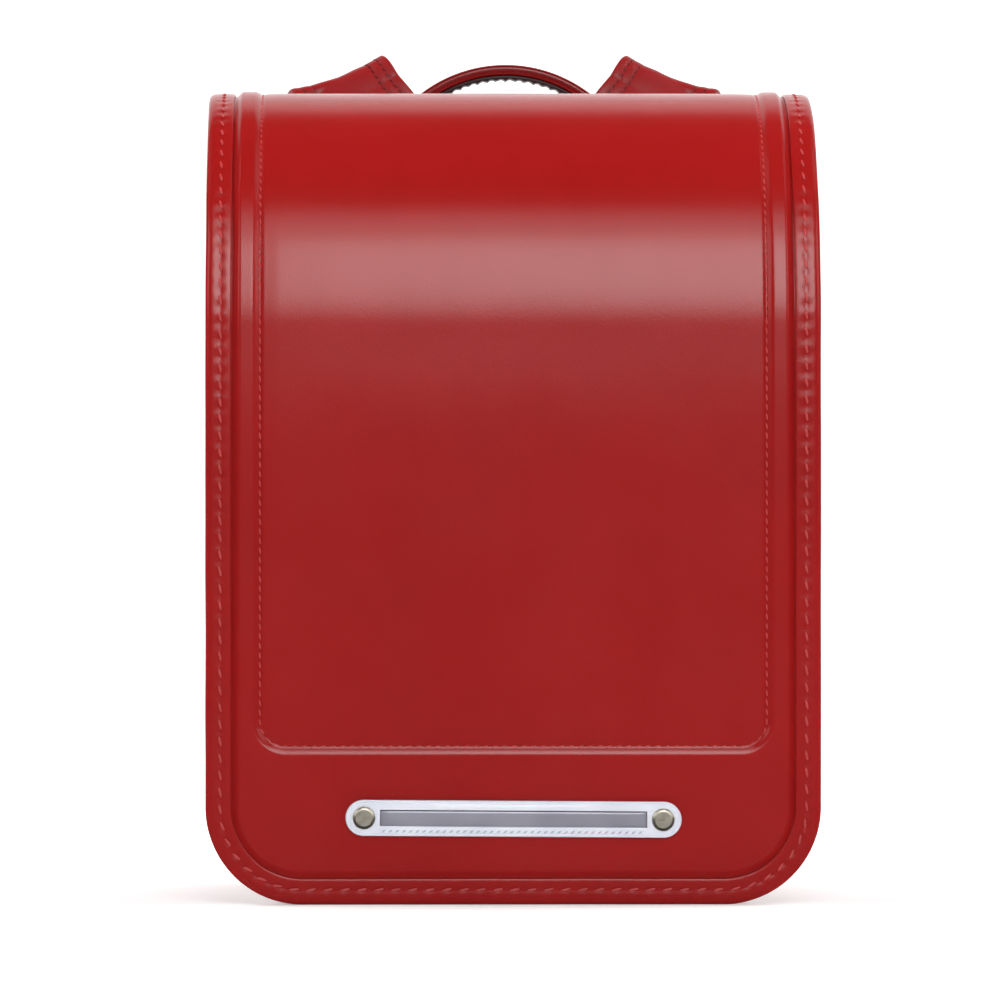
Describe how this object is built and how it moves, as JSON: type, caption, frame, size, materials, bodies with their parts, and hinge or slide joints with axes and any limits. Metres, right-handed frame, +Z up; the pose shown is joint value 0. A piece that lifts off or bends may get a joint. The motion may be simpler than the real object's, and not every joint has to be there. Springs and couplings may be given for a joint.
{
  "type": "school ransel",
  "caption": "Box-shaped red leather school backpack with a flap over its whole front, a slim reflector bar, a top handle and padded shoulder straps.",
  "frame": {"origin": "middle of the bounding box, on the plane that the bag stands on", "axes": "+Z up, -Y out of the flap's face, +Y towards the wearer's back, +X to the right as the flap is seen"},
  "size_m": [0.265, 0.2538, 0.3779],
  "materials": {
    "shell_leather": "smooth red leather with a satin sheen",
    "strap_leather": "smooth red leather, slightly duller",
    "pad_leather": "soft matt red leather",
    "white_plastic": "pale translucent plastic",
    "grey_sheet": "grey reflective sheet",
    "pale_brass": "polished pale brass",
    "nickel": "polished nickel"
  },
  "bodies": {
    "root": {"flap_panel": "shell_leather", "flap_border": "shell_leather", "reflector_frame": "white_plastic", "reflector_sheet": "grey_sheet", "reflector_rivet_left": "pale_brass", "reflector_rivet_right": "pale_brass", "pocket_front": "shell_leather", "pocket_gusset": "shell_leather", "divider": "shell_leather", "main_gusset": "shell_leather", "back_panel": "shell_leather", "back_pad": "pad_leather", "yoke": "shell_leather", "handle": "strap_leather", "closing_tab": "shell_leather", "turn_lock": "nickel", "shoulder_strap_right": "strap_leather", "shoulder_strap_left": "strap_leather", "buckle_right": "nickel", "buckle_left": "nickel", "lower_strap_right": "strap_leather", "lower_strap_left": "strap_leather", "ring_right": "nickel", "ring_left": "nickel", "lug_right": "shell_leather", "lug_left": "shell_leather"}
  },
  "joints": []
}
